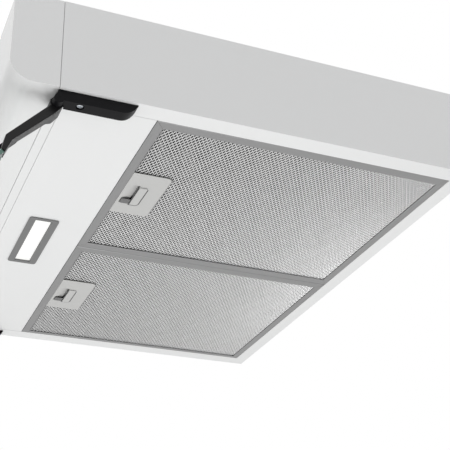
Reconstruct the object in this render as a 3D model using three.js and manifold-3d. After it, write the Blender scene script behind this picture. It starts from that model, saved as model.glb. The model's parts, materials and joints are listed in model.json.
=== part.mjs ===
// Under cabinet range hood: a 60 cm white steel housing with two aluminium grease filters,
// a lamp, a swing-down glass visor on black arms, and a blower with a top outlet.
//
// Units are millimetres, +Z is up. The origin is the middle of the top face, which is fixed
// against the cabinet. +X is to the right as seen from the front, and the front faces -Y.
import * as THREE from 'three';
import { mergeVertices } from 'three/addons/utils/BufferGeometryUtils.js';
import Module from 'manifold-3d';

const wasm = await Module();
wasm.setup();

// ---------------------------------------------------------------- driving dimensions
const WIDTH = 600;            // overall width of the housing
const DEPTH = 482;            // front face of the nose to the back wall
const HEIGHT = 96;            // underside to top face
const SHEET = 1;              // sheet steel thickness
const GAP = 0.3;              // clearance between touching pieces
const NOSE = 46;              // depth of the front panel, ahead of the front rail
const NOSE_ROUND = { top: 9, bottom: 22 };    // radii along the front panel's long edges
const RAIL = 9;               // front rail between the nose and the lamp panel
const LAMP_PANEL = 89;        // depth of the lamp panel
const SIDE_STRIP = 20.5;      // bottom flange along each side
const BACK_STRIP = 16;        // bottom flange along the back

const RIGHT = WIDTH / 2;
const FRONT = -DEPTH / 2;
const BACK = DEPTH / 2;
const UNDER = -HEIGHT;                        // level of the underside
const RAIL_FRONT = FRONT + NOSE;
const PANEL_FRONT = RAIL_FRONT + RAIL;
const PANEL_BACK = PANEL_FRONT + LAMP_PANEL;
const OPENING_X = RIGHT - SIDE_STRIP;         // half width between the side strips
const OPENING_BACK = BACK - BACK_STRIP;

// filters
const FILTER_HEIGHT = 9;
const FILTER_SHEET = 0.8;
const FILTER_RAIL = { outer: 12, middle: 11.5, front: 9.5, back: 8 };
const FILTER_CLEAR = 0.5;                     // play around each filter
const FILTER_X0 = 0.4;
const FILTER_X1 = OPENING_X - FILTER_CLEAR;
const FILTER_Y0 = PANEL_BACK + GAP;
const FILTER_Y1 = OPENING_BACK - FILTER_CLEAR;
const LATCH_X = 138;                          // middle of each latch, from the hood's middle
const LATCH_PLATE = { width: 86, depth: 42 };

// visor
const VISOR_ANGLE = 46.9;                     // degrees below level, as stored
const PIVOT = { y: PANEL_FRONT - 8.5, z: UNDER - 9 };
const ARM = { outer: 288, width: 12.5, hub: 19.5, reach: 71.8, hubRadius: 6.3 };
const GLASS = { thickness: 4, length: 75, width: 575 };

// blower and outlet
const WHEEL = { x: -64, y: 4, radius: 75, bottom: UNDER + 28, height: 46, blades: 24 };
const SCROLL = {
  bottom: UNDER + 20, top: UNDER + 86, wall: 2, start: 86, end: 126, back: 212, inlet: 64, motorHole: 24,
};
const COLLAR = { y: 144, radius: 60, wall: 2, height: 35, flange: 74, screws: 66.5 };
const MOTOR = { radius: 38, height: 45, neck: 14, shoulder: 4 };
const MOTOR_BRACKET = { length: 96, width: 30, sheet: 1.5, boss: 20 };

// push buttons
const BUTTONS = { count: 5, pitch: 24, width: 17, height: 9, travel: 1.5, level: -52 };

// ---------------------------------------------------------------- materials
const paint = (color, roughness, metalness = 0) =>
  new THREE.MeshStandardMaterial({ color, roughness, metalness });
const whiteSteel = () => paint(0xe9eaeb, 0.35);
const glossWhite = () => paint(0xeff0f1, 0.12);
const blackPlastic = () => paint(0x1c1c1f, 0.4);
const greyPlastic = () => paint(0x7b7b7b, 0.5);
const paleGrey = () => paint(0xc5c5c5, 0.45);
const aluminium = () => paint(0xa3a3a3, 0.35, 0.9);
const zincSteel = () => paint(0xb4bac2, 0.35, 0.9);
const boardGreen = () => paint(0x2f5a3c, 0.6);
const glassPane = () =>
  new THREE.MeshStandardMaterial({ color: 0xbfd6cb, roughness: 0.05, transparent: true, opacity: 0.4 });

// ---------------------------------------------------------------- solids
// A closed geometry as a manifold solid.
function solid(geometry) {
  const bare = geometry.clone();
  bare.deleteAttribute('normal');
  bare.deleteAttribute('uv');
  const merged = mergeVertices(bare, 1e-4);
  return new wasm.Manifold(new wasm.Mesh({
    numProp: 3,
    vertProperties: new Float32Array(merged.attributes.position.array),
    triVerts: new Uint32Array(merged.index.array),
  }));
}

// A manifold solid as a geometry.
function geometryOf(body) {
  const mesh = body.getMesh();
  const geometry = new THREE.BufferGeometry();
  geometry.setAttribute('position', new THREE.BufferAttribute(new Float32Array(mesh.vertProperties), 3));
  geometry.setIndex(new THREE.BufferAttribute(new Uint32Array(mesh.triVerts), 1));
  geometry.computeVertexNormals();
  return geometry;
}

const join = (...bodies) => bodies.reduce((sum, body) => sum.add(body));
const cut = (body, ...tools) => tools.reduce((rest, tool) => rest.subtract(tool), body);

// The two limits of a size about a middle.
const around = (centre, size) => [centre - size / 2, centre + size / 2];

// A box between two limits on each axis.
function block([x0, x1], [y0, y1], [z0, z1]) {
  const box = new THREE.BoxGeometry(x1 - x0, y1 - y0, z1 - z0);
  return solid(box.translate((x0 + x1) / 2, (y0 + y1) / 2, (z0 + z1) / 2));
}

// A round bar along an axis, from the point at its start.
function bar(radius, length, axis, [x, y, z], sides = 32) {
  const cylinder = new THREE.CylinderGeometry(radius, radius, length, sides).translate(0, length / 2, 0);
  if (axis === 'x') cylinder.rotateZ(-Math.PI / 2);
  if (axis === 'z') cylinder.rotateX(Math.PI / 2);
  return solid(cylinder.translate(x, y, z));
}

// A turned piece about the vertical line at x, y, from [radius, height] pairs.
function turned(profile, [x, y], sides = 40) {
  const points = profile.map(([radius, height]) => new THREE.Vector2(radius, height));
  return solid(new THREE.LatheGeometry(points, sides).rotateX(Math.PI / 2).translate(x, y, 0));
}

// A ring of rectangular section about a vertical line.
const ring = (inner, outer, [z0, z1], centre, sides = 40) =>
  turned([[inner, z0], [outer, z0], [outer, z1], [inner, z1], [inner, z0]], centre, sides);

// An outline in the X-Y plane, drawn up between two heights.
function plate(outline, [z0, z1]) {
  const options = { depth: z1 - z0, bevelEnabled: false, curveSegments: 8 };
  return solid(new THREE.ExtrudeGeometry(outline, options).translate(0, 0, z0));
}

// An outline given in Y and Z, drawn out between two places on X.
function profileAlongX(outline, [x0, x1]) {
  const options = { depth: x1 - x0, bevelEnabled: false, curveSegments: 6 };
  const geometry = new THREE.ExtrudeGeometry(outline, options);
  geometry.applyMatrix4(new THREE.Matrix4().set(0, 0, 1, x0, 1, 0, 0, 0, 0, 1, 0, 0, 0, 0, 0, 1));
  return solid(geometry);
}

// A rectangle with a radius or a chamfer of its own at each corner, counter-clockwise from low x, low y.
function roundedRectangle([x0, x1], [y0, y1], radii) {
  const [a, b, c, d] = radii;
  const shape = new THREE.Shape();
  shape.moveTo(x0 + a, y0);
  shape.lineTo(x1 - b, y0);
  if (b) shape.quadraticCurveTo(x1, y0, x1, y0 + b);
  shape.lineTo(x1, y1 - c);
  if (c) shape.quadraticCurveTo(x1, y1, x1 - c, y1);
  shape.lineTo(x0 + d, y1);
  if (d) shape.quadraticCurveTo(x0, y1, x0, y1 - d);
  shape.lineTo(x0, y0 + a);
  if (a) shape.quadraticCurveTo(x0, y0, x0 + a, y0);
  return shape;
}

function outlineOf(points) {
  const shape = new THREE.Shape();
  shape.setFromPoints(points.map(([u, v]) => new THREE.Vector2(u, v)));
  return shape;
}

const mirrored = (body, side) => (side > 0 ? body : body.mirror([1, 0, 0]));

const hood = new THREE.Group();

function piece(name, body, material, parent = hood) {
  const mesh = new THREE.Mesh(geometryOf(body), material);
  mesh.name = name;
  parent.add(mesh);
  return mesh;
}

const SIDES = [['right', 1], ['left', -1]];

// ---------------------------------------------------------------- housing
const KEYHOLES = [[-230, -120], [230, -120], [-230, 170], [230, 170]];
const KEYHOLE = { round: 5, slot: 5, length: 12 };
const CABLE = { x: 235, y: 205, radius: 9 };
const UPSTAND = 11;                            // height of the filters' side guides
const RAIL_WALL = { low: 30, high: 24 };       // turned-up and turned-down edges behind the front panel

function housing() {
  const walls = SIDES.map(([, side]) => mirrored(join(
    block([RIGHT - SHEET, RIGHT], [RAIL_FRONT, BACK], [UNDER, 0]),
    block([OPENING_X, RIGHT], [RAIL_FRONT, BACK], [UNDER, UNDER + SHEET]),
    block([OPENING_X, OPENING_X + SHEET], [PANEL_BACK + 6, OPENING_BACK - 12], [UNDER, UNDER + UPSTAND]),
  ), side));
  const shell = join(
    ...walls,
    block([-RIGHT, RIGHT], [RAIL_FRONT, BACK], [-SHEET, 0]),
    block([-RIGHT, RIGHT], [BACK - SHEET, BACK], [UNDER, 0]),
    block([-RIGHT, RIGHT], [OPENING_BACK, BACK], [UNDER, UNDER + SHEET]),
    block([-RIGHT, RIGHT], [RAIL_FRONT, PANEL_FRONT], [UNDER, UNDER + SHEET]),
    block([-RIGHT, RIGHT], [RAIL_FRONT, RAIL_FRONT + SHEET], [UNDER, UNDER + RAIL_WALL.low]),
    block([-RIGHT, RIGHT], [RAIL_FRONT, RAIL_FRONT + SHEET], [-RAIL_WALL.high, 0]),
  );
  const keyholes = KEYHOLES.map(([x, y]) => join(
    bar(KEYHOLE.round, 4, 'z', [x, y, -3], 24),
    block([x - KEYHOLE.slot / 2, x + KEYHOLE.slot / 2], [y, y + KEYHOLE.length], [-3, 1]),
  ));
  const outletHole = bar(COLLAR.radius + 1.5, 4, 'z', [0, COLLAR.y, -3], 40);
  const cableHole = bar(CABLE.radius, 4, 'z', [CABLE.x, CABLE.y, -3], 24);
  return cut(shell, ...keyholes, outletHole, cableHole);
}
piece('housing', housing(), whiteSteel());

// ---------------------------------------------------------------- front panel and push buttons
const FACE = 2.2;                              // wall of the moulded front panel
const buttonX = (index) => (index - (BUTTONS.count - 1) / 2) * BUTTONS.pitch;
const BEZEL = { width: BUTTONS.count * BUTTONS.pitch + 8, height: 20, depth: 1.4 };

function noseOutline(inset) {
  const back = RAIL_FRONT - GAP;
  const [top, bottom] = [NOSE_ROUND.top - inset, NOSE_ROUND.bottom - inset];
  const front = FRONT + inset;
  const [low, high] = [UNDER + inset, -inset];
  const shape = new THREE.Shape();
  shape.moveTo(inset ? back + 1 : back, low);
  shape.lineTo(inset ? back + 1 : back, high);
  shape.lineTo(front + top, high);
  shape.absarc(front + top, high - top, top, Math.PI / 2, Math.PI, false);
  shape.lineTo(front, low + bottom);
  shape.absarc(front + bottom, low + bottom, bottom, Math.PI, Math.PI * 1.5, false);
  return shape;
}

function frontPanel() {
  const shell = profileAlongX(noseOutline(0), [-RIGHT, RIGHT]);
  const hollow = profileAlongX(noseOutline(FACE), [-RIGHT + FACE, RIGHT - FACE]);
  const holes = Array.from({ length: BUTTONS.count }, (_, index) => block(
    [buttonX(index) - BUTTONS.width / 2 - GAP, buttonX(index) + BUTTONS.width / 2 + GAP],
    [FRONT - 1, FRONT + FACE + 1],
    [BUTTONS.level - BUTTONS.height / 2 - GAP, BUTTONS.level + BUTTONS.height / 2 + GAP],
  ));
  return cut(shell, hollow, ...holes);
}
piece('front_panel', frontPanel(), glossWhite());

function buttonBezel() {
  const [w, h] = [BEZEL.width / 2, BEZEL.height / 2];
  const shape = roundedRectangle([-w, w], [-h, h], [4, 4, 4, 4]);
  const stand = plate(shape, [0, BEZEL.depth]);
  const holes = Array.from({ length: BUTTONS.count }, (_, index) => block(
    [buttonX(index) - BUTTONS.width / 2 - GAP, buttonX(index) + BUTTONS.width / 2 + GAP],
    [-BUTTONS.height / 2 - GAP, BUTTONS.height / 2 + GAP],
    [-1, BEZEL.depth + 1],
  ));
  return cut(stand, ...holes).rotate([90, 0, 0]).translate([0, FRONT - GAP, BUTTONS.level]);
}
piece('button_bezel', buttonBezel(), greyPlastic());

const BUTTON_NAMES = ['button_light', 'button_off', 'button_low', 'button_medium', 'button_high'];
const CAP = { proud: 1.6, depth: 5.2, corner: 1.5, stem: 4, stemLength: 4.5 };
const BUTTON_FACE = FRONT - GAP - BEZEL.depth - CAP.proud;
BUTTON_NAMES.forEach((name, index) => {
  const [w, h] = [BUTTONS.width / 2, BUTTONS.height / 2];
  const cap = plate(roundedRectangle([-w, w], [-h, h], [CAP.corner, CAP.corner, CAP.corner, CAP.corner]), [0, CAP.depth]);
  const stem = block(around(0, CAP.stem), around(0, CAP.stem), [-CAP.stemLength, 0.5]);
  const body = join(cap, stem).rotate([90, 0, 0]);
  piece(name, body.translate([buttonX(index), BUTTON_FACE + CAP.depth, BUTTONS.level]), paleGrey());
});

const BOARD_SHEET = 1.6;
const CONTROL_BOARD = { front: BUTTON_FACE + CAP.depth + CAP.stemLength + BUTTONS.travel + GAP, width: 140, height: 28 };
piece('control_board',
  block(around(0, CONTROL_BOARD.width), [CONTROL_BOARD.front, CONTROL_BOARD.front + BOARD_SHEET],
    around(BUTTONS.level, CONTROL_BOARD.height)),
  boardGreen());

// ---------------------------------------------------------------- lamp panel and lamp
const LAMP = { x: -3.5, y: PANEL_FRONT + 38.75, width: 116, depth: 33, window: [106, 18] };
const LAMP_HOLE = [108, 26];
const TRAY = { wall: 1.2, low: UNDER + 5.4, high: UNDER + 24 };
const LAMP_BOARD = { size: [98, 18], bottom: TRAY.high - TRAY.wall - GAP - BOARD_SHEET };
const PANEL_EDGE = 9;                          // height of the lamp panel's turned-up edges
const LATCH_NOTCH = 30;                        // width of the notch each latch hooks into

function lampPanel() {
  const edge = OPENING_X - FILTER_CLEAR;
  const [front, back] = [PANEL_FRONT + GAP, PANEL_BACK - GAP];
  const tray = join(
    block([-edge, edge], [front, back], [UNDER, UNDER + SHEET]),
    block([-edge, edge], [back - SHEET, back], [UNDER, UNDER + PANEL_EDGE]),
    block([-edge, edge], [front, front + SHEET], [UNDER, UNDER + PANEL_EDGE]),
  );
  const notches = SIDES.map(([, side]) =>
    block(around(LATCH_X * side, LATCH_NOTCH), [back - 4, back + 1], [UNDER + SHEET, UNDER + PANEL_EDGE + 1]));
  return cut(tray, block(around(LAMP.x, LAMP_HOLE[0]), around(LAMP.y, LAMP_HOLE[1]), [UNDER - 1, UNDER + 2]), ...notches);
}
piece('lamp_panel', lampPanel(), whiteSteel());

function lampBezel() {
  const flange = plate(
    roundedRectangle(around(LAMP.x, LAMP.width), around(LAMP.y, LAMP.depth), [4, 4, 4, 4]),
    [UNDER - 1.4, UNDER - GAP],
  );
  const neck = block(around(LAMP.x, LAMP_HOLE[0] - 1), around(LAMP.y, LAMP_HOLE[1] - 1), [UNDER - 1, UNDER + 5]);
  const opening = block(around(LAMP.x, LAMP.window[0]), around(LAMP.y, LAMP.window[1]), [UNDER - 3, UNDER + 6]);
  return cut(join(flange, neck), opening);
}
piece('lamp_bezel', lampBezel(), greyPlastic());
piece('lamp_diffuser',
  block(around(LAMP.x, LAMP.window[0] - 2 * GAP), around(LAMP.y, LAMP.window[1] - 2 * GAP), [UNDER + 0.4, UNDER + 2.8]),
  paint(0xf6f6f4, 0.4));

function lampTray() {
  const [x, y] = [around(LAMP.x, LAMP_HOLE[0]), around(LAMP.y, LAMP_HOLE[1])];
  const inside = ([low, high]) => [low + TRAY.wall, high - TRAY.wall];
  return cut(block(x, y, [TRAY.low, TRAY.high]), block(inside(x), inside(y), [TRAY.low - 1, TRAY.high - TRAY.wall]));
}
piece('lamp_tray', lampTray(), paint(0xdedede, 0.5));
piece('lamp_board',
  block(around(LAMP.x, LAMP_BOARD.size[0]), around(LAMP.y, LAMP_BOARD.size[1]),
    [LAMP_BOARD.bottom, LAMP_BOARD.bottom + BOARD_SHEET]),
  boardGreen());

// ---------------------------------------------------------------- grease filters
// Each filter is drawn on the right. The left one is its mirror image, but its latch is not mirrored.
const MESH_LOW = UNDER + FILTER_SHEET + GAP;
const MESH_HIGH = UNDER + FILTER_HEIGHT - FILTER_SHEET - GAP;
const MESH_SHEET = 0.8;
const SLOT_X = 22;                             // width of the latch slot in the front rail
const TABS = { x: [60, 220], width: 24, thickness: 1.2, reach: 6 };   // rear hooks that rest on the back strip
const MESH_OPENING = { width: 54, back: PANEL_BACK + 47 };            // space for the latch behind the mesh

function filterFrame(side) {
  const outer = (inset, z) =>
    block([FILTER_X0 + inset, FILTER_X1 - inset], [FILTER_Y0 + inset, FILTER_Y1 - inset], z);
  const inner = (z) => block(
    [FILTER_RAIL.middle, OPENING_X - FILTER_RAIL.outer],
    [PANEL_BACK + FILTER_RAIL.front, OPENING_BACK - FILTER_RAIL.back],
    z,
  );
  const channel = cut(
    outer(0, [UNDER, UNDER + FILTER_HEIGHT]),
    outer(FILTER_SHEET, [UNDER + FILTER_SHEET, UNDER + FILTER_HEIGHT - FILTER_SHEET]),
    inner([UNDER - 1, UNDER + FILTER_HEIGHT + 1]),
  );
  const slot = block(around(LATCH_X * side, SLOT_X), [FILTER_Y0 - 1, FILTER_Y0 + 2], [MESH_LOW, MESH_HIGH]);
  const tabLow = UNDER + SHEET + GAP;
  const tabs = TABS.x.map((x) =>
    block(around(x, TABS.width), [FILTER_Y1 - 1, OPENING_BACK + TABS.reach], [tabLow, tabLow + TABS.thickness]));
  return cut(mirrored(join(channel, ...tabs), side), slot);
}

function filterSheet(side, [z0, z1], open) {
  const reach = FILTER_SHEET + GAP;
  const sheet = mirrored(block([FILTER_X0 + reach, FILTER_X1 - reach], [FILTER_Y0 + reach, FILTER_Y1 - reach], [z0, z1]),
    side);
  const opening = block(around(LATCH_X * side, MESH_OPENING.width), [FILTER_Y0, MESH_OPENING.back], [z0 - 1, z1 + 1]);
  return open ? cut(sheet, opening) : sheet;
}

// The latch is drawn about X = 0. Its plate has a ramped finger recess, deepest at its low X end, and a window
// a little larger than the slider's pad, so that a narrow slot shows along three sides of the pad.
const PLATE = { y0: PANEL_BACK + FILTER_RAIL.front + GAP, corner: 6 };
const PAD = { x: [-20, 17], y: [PLATE.y0 + 15, PLATE.y0 + 23.6], corner: 4, height: 1 };
const SLOT = { front: 1.1, side: 0.8 };
const RECESS = { x: [-10, 19], deep: [-20, -9.5], y: [PLATE.y0 + 3, PAD.y[0] - SLOT.front], depth: 3, floor: 3 };
const STEM = { x: [-8, 8], y: [PAD.y[0] + 0.7, PAD.y[0] + 4.1] };
const CARRIAGE = { x: [-12, 12], z: [UNDER + 4.6, UNDER + 6.2] };
const TONGUE = { x: [-9.5, 9.5], tip: PANEL_BACK - 3.5, hook: 2.6 };
const LUG = { x: [-6, 6], y: [PAD.y[1] + 10, PAD.y[1] + 11.2] };

function recessRamp() {
  const deep = UNDER + RECESS.depth;
  const back = RECESS.y[1] + 1;
  const outline = outlineOf([[RECESS.y[0], UNDER], [RECESS.y[0], UNDER - 1], [back, UNDER - 1], [back, deep],
    [RECESS.y[1] - RECESS.floor, deep]]);
  return profileAlongX(outline, RECESS.x);
}

function latchPlate() {
  const [w, y1] = [LATCH_PLATE.width / 2, PLATE.y0 + LATCH_PLATE.depth];
  const face = plate(roundedRectangle([-w, w], [PLATE.y0, y1], [0, 0, PLATE.corner, PLATE.corner]),
    [UNDER, UNDER + FILTER_SHEET]);
  const well = block([RECESS.deep[0] - FILTER_SHEET, RECESS.x[1] + FILTER_SHEET], [RECESS.y[0] - FILTER_SHEET, RECESS.y[1]],
    [UNDER, UNDER + RECESS.depth + FILTER_SHEET]);
  const lug = block(LUG.x, LUG.y, [UNDER, CARRIAGE.z[1]]);
  const deepEnd = block(RECESS.deep, [RECESS.y[0], RECESS.y[1] + 1], [UNDER - 1, UNDER + RECESS.depth]);
  const window = plate(
    roundedRectangle([PAD.x[0] - SLOT.side, PAD.x[1] - 2], [PAD.y[0] - SLOT.front, PAD.y[1] + SLOT.side],
      [0, 0, 0, PAD.corner + SLOT.side]),
    [UNDER - 1, UNDER + 2],
  );
  return cut(join(face, well, lug), recessRamp(), deepEnd, window);
}

function latchSlider() {
  const shape = roundedRectangle(PAD.x, PAD.y, [0.5, 0.5, 0.5, PAD.corner]);
  const pad = plate(shape, [UNDER - GAP - PAD.height, UNDER - GAP]);
  const stem = block(STEM.x, STEM.y, [UNDER - 1, CARRIAGE.z[1]]);
  const carriage = block(CARRIAGE.x, [PLATE.y0 + 1, PAD.y[1] - 0.6], CARRIAGE.z);
  const tongue = block(TONGUE.x, [TONGUE.tip, PLATE.y0 + 2], CARRIAGE.z);
  const hook = block(TONGUE.x, [TONGUE.tip, TONGUE.tip + TONGUE.hook], [UNDER + SHEET + GAP, CARRIAGE.z[1]]);
  return join(pad, stem, carriage, tongue, hook);
}

// A leaf of spring steel folded in zigzag between the carriage and the plate's lug.
const LEAF = { half: 2.4, thickness: 0.4, z: [UNDER + 4.6, UNDER + 5.4], folds: 5 };

function latchSpring() {
  const [start, end] = [PAD.y[1] - GAP, LUG.y[0] - GAP];
  const pitch = (end - start) / LEAF.folds;
  const leaf = Array.from({ length: LEAF.folds }, (_, index) => {
    const y = start + index * pitch;
    const turn = index % 2 ? [LEAF.half - LEAF.thickness, LEAF.half] : [-LEAF.half, -LEAF.half + LEAF.thickness];
    return join(
      block([-LEAF.half, LEAF.half], [y, y + LEAF.thickness], LEAF.z),
      block(turn, [y, y + pitch + LEAF.thickness / 2], LEAF.z),
    );
  });
  return join(...leaf);
}

SIDES.forEach(([name, side]) => {
  const place = [LATCH_X * side, 0, 0];
  piece(`filter_frame_${name}`, filterFrame(side), aluminium());
  piece(`filter_mesh_${name}`, filterSheet(side, [MESH_LOW, MESH_LOW + MESH_SHEET], true), aluminium());
  piece(`filter_backing_${name}`, filterSheet(side, [MESH_HIGH - MESH_SHEET, MESH_HIGH], false), aluminium());
  piece(`latch_plate_${name}`, latchPlate().translate(place), paleGrey());
  piece(`latch_slider_${name}`, latchSlider().translate(place), paleGrey());
  piece(`latch_spring_${name}`, latchSpring().translate(place), zincSteel());
});

// ---------------------------------------------------------------- hinge brackets
const BRACKET = {
  inner: 283, outer: RIGHT - 3.3, front: PANEL_FRONT - 9, back: PANEL_FRONT + 65, depth: 10.9, cheek: ARM.outer + 0.6, lug: 5,
};
const PIN = { radius: 2.5, bore: 2.8, seat: 5 };
const SCREW = { x: 290.75, y: PANEL_FRONT + 11.75, head: 3.1, shank: 2, hole: 2.3, recess: 3.8 };

function hingeBracket() {
  const top = UNDER - GAP;
  const low = top - BRACKET.depth;
  const outline = new THREE.Shape();
  outline.moveTo(BRACKET.front, top);
  outline.lineTo(BRACKET.front, low + 1);
  outline.lineTo(BRACKET.front + 1, low);
  outline.lineTo(BRACKET.back - 15, low);
  outline.quadraticCurveTo(BRACKET.back - 6, low, BRACKET.back, top);
  const lug = new THREE.Shape();
  lug.moveTo(PIVOT.y + BRACKET.lug, top);
  lug.lineTo(BRACKET.front, top);
  lug.lineTo(PIVOT.y - BRACKET.lug, PIVOT.z);
  lug.absarc(PIVOT.y, PIVOT.z, BRACKET.lug, Math.PI, 2 * Math.PI, false);
  const body = join(
    profileAlongX(outline, [BRACKET.inner, BRACKET.outer]),
    profileAlongX(lug, [BRACKET.cheek, BRACKET.outer]),
  );
  const clearance = ARM.hubRadius + 0.5;
  const armSpace = join(
    block([BRACKET.inner - 1, BRACKET.cheek], [BRACKET.front - 1, PIVOT.y], [low - 1, top + 1]),
    bar(clearance, BRACKET.cheek - BRACKET.inner + 1, 'x', [BRACKET.inner - 1, PIVOT.y, PIVOT.z], 40),
    block([BRACKET.inner - 1, BRACKET.cheek], [PIVOT.y - 1, PIVOT.y + clearance], [low - 1, PIVOT.z]),
  );
  const pinBore = bar(PIN.bore, PIN.seat + 2.6, 'x', [BRACKET.cheek - 2, PIVOT.y, PIVOT.z], 20);
  const screwHole = join(
    bar(SCREW.recess, 3.2, 'z', [SCREW.x, SCREW.y, low - 0.2], 24),
    bar(SCREW.hole, 20, 'z', [SCREW.x, SCREW.y, low - 1], 16),
  );
  return { body: cut(body, armSpace, pinBore, screwHole), low };
}

const bracket = hingeBracket();
SIDES.forEach(([name, side]) => {
  piece(`hinge_bracket_${name}`, mirrored(bracket.body, side), blackPlastic());
  const screw = join(
    turned([[0, bracket.low + 0.6], [2.6, bracket.low + 0.6], [SCREW.head, bracket.low + 1.5],
      [SCREW.head, bracket.low + 2.7], [0, bracket.low + 2.7]], [SCREW.x, SCREW.y], 24),
    bar(SCREW.shank, BRACKET.depth - 3, 'z', [SCREW.x, SCREW.y, bracket.low + 2.5], 16),
  );
  piece(`bracket_screw_${name}`, mirrored(screw, side), zincSteel());
});

// ---------------------------------------------------------------- visor
// Drawn level, pointing forward from its pivot, and turned down about it.
const visor = new THREE.Group();
visor.position.set(0, PIVOT.y, PIVOT.z);
visor.rotation.x = THREE.MathUtils.degToRad(VISOR_ANGLE);
hood.add(visor);

const ARM_IN = ARM.outer - ARM.width;
const HUB_IN = ARM.outer - ARM.hub;

function visorArm() {
  const side = new THREE.Shape();
  side.moveTo(0, -ARM.hubRadius + 0.1);
  side.lineTo(-9, -7);
  side.lineTo(-59, -5.4);
  side.lineTo(-ARM.reach, -10.2);
  side.lineTo(-ARM.reach, -5.6);
  side.lineTo(-59.8, 1.9);
  side.lineTo(0, 1.9);
  const flare = outlineOf([[HUB_IN, 8], [HUB_IN, -8], [ARM_IN, -17], [ARM_IN, -ARM.reach - 1],
    [ARM.outer, -ARM.reach - 1], [ARM.outer, 8]]);
  const lever = profileAlongX(side, [HUB_IN, ARM.outer]).intersect(plate(flare, [-20, 20]));
  const hub = bar(ARM.hubRadius, ARM.hub, 'x', [HUB_IN, 0, 0], 32);
  const bore = bar(PIN.bore, ARM.hub + 2, 'x', [HUB_IN - 1, 0, 0], 20);
  return cut(join(lever, hub), bore);
}

function pivotPin() {
  const length = BRACKET.cheek + PIN.seat - HUB_IN + 0.5;
  return join(
    bar(PIN.radius, length, 'x', [HUB_IN - 0.5, 0, 0], 20),
    bar(4, 1.5, 'x', [HUB_IN - 2, 0, 0], 20),
  );
}

const GLASS_TOP = -6;
const GLASS_BACK = -ARM.reach - GAP;

function visorGlass() {
  const shape = roundedRectangle(around(0, GLASS.width), [GLASS_BACK - GLASS.length, GLASS_BACK], [10, 10, 1.5, 1.5]);
  return plate(shape, [GLASS_TOP - GLASS.thickness, GLASS_TOP]);
}

function visorClamp() {
  const [x0, x1] = [ARM_IN - 9, ARM_IN - GAP];
  const cheek = block([x0, x1], [-64, -46], [-3.5, 1.5]);
  const step = profileAlongX(outlineOf([[-64, 1.5], [-64, -3.5], [GLASS_BACK, GLASS_TOP + GAP], [GLASS_BACK - 26, GLASS_TOP + GAP],
    [GLASS_BACK - 26, GLASS_TOP + 2], [GLASS_BACK - 4, GLASS_TOP + 3.4]]), [x0, x1]);
  return join(cheek, step);
}

SIDES.forEach(([name, side]) => {
  piece(`visor_arm_${name}`, mirrored(visorArm(), side), blackPlastic(), visor);
  piece(`pivot_pin_${name}`, mirrored(pivotPin(), side), zincSteel(), visor);
  piece(`visor_clamp_${name}`, mirrored(visorClamp(), side), blackPlastic(), visor);
});
piece('visor_glass', visorGlass(), glassPane(), visor);

// ---------------------------------------------------------------- blower
const centre = [WHEEL.x, WHEEL.y];

// The volute in plan: a spiral of three quarters of a turn that opens into a duct to the back, under the collar.
function voluteShape(inset) {
  const steps = 27;
  const spiral = Array.from({ length: steps + 1 }, (_, index) => {
    const part = index / steps;
    const angle = Math.PI / 2 + Math.PI * 1.5 * part;
    const radius = SCROLL.start + (SCROLL.end - SCROLL.start) * part - inset;
    return [WHEEL.x + radius * Math.cos(angle), WHEEL.y + radius * Math.sin(angle)];
  });
  const [left, right] = [-COLLAR.radius - 2 + inset, WHEEL.x + SCROLL.end - inset];
  const back = SCROLL.back - inset;
  return outlineOf([...spiral, [right, back], [left, back], [left, WHEEL.y + SCROLL.start - inset]]);
}

function blowerScroll() {
  const shell = plate(voluteShape(0), [SCROLL.bottom, SCROLL.top]);
  const air = plate(voluteShape(SCROLL.wall), [SCROLL.bottom + SCROLL.wall, SCROLL.top - SCROLL.wall]);
  const inlet = bar(SCROLL.inlet, 6, 'z', [...centre, SCROLL.bottom - 1], 40);
  const motorHole = bar(SCROLL.motorHole, 6, 'z', [...centre, SCROLL.top - 4], 32);
  const outlet = bar(COLLAR.radius - COLLAR.wall, 6, 'z', [0, COLLAR.y, SCROLL.top - 4], 40);
  return cut(shell, air, inlet, motorHole, outlet);
}
piece('blower_scroll', blowerScroll(), blackPlastic());

// Three wire rings and a cross under the inlet.
const GUARD = { rings: [[16, 19], [38, 41], [62, 70]], wire: 3, cross: 136, thickness: 2.4 };

function inletGuard() {
  const [low, high] = [SCROLL.bottom - GAP - GUARD.thickness, SCROLL.bottom - GAP];
  const rings = GUARD.rings.map(([inner, outer]) => ring(inner, outer, [low, high], centre));
  const spokes = [
    block(around(WHEEL.x, GUARD.wire), around(WHEEL.y, GUARD.cross), [low, high]),
    block(around(WHEEL.x, GUARD.cross), around(WHEEL.y, GUARD.wire), [low, high]),
  ];
  return join(...rings, ...spokes);
}
piece('inlet_guard', inletGuard(), zincSteel());

const WHEEL_TOP = WHEEL.bottom + WHEEL.height;
const CUP = { inner: 42, outer: 44, floor: WHEEL.bottom + 8, hub: 8 };
const BLADE = { inner: 62, middle: 68, thickness: 1.2, lean: 35 };
const SHAFT = 3;

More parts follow.
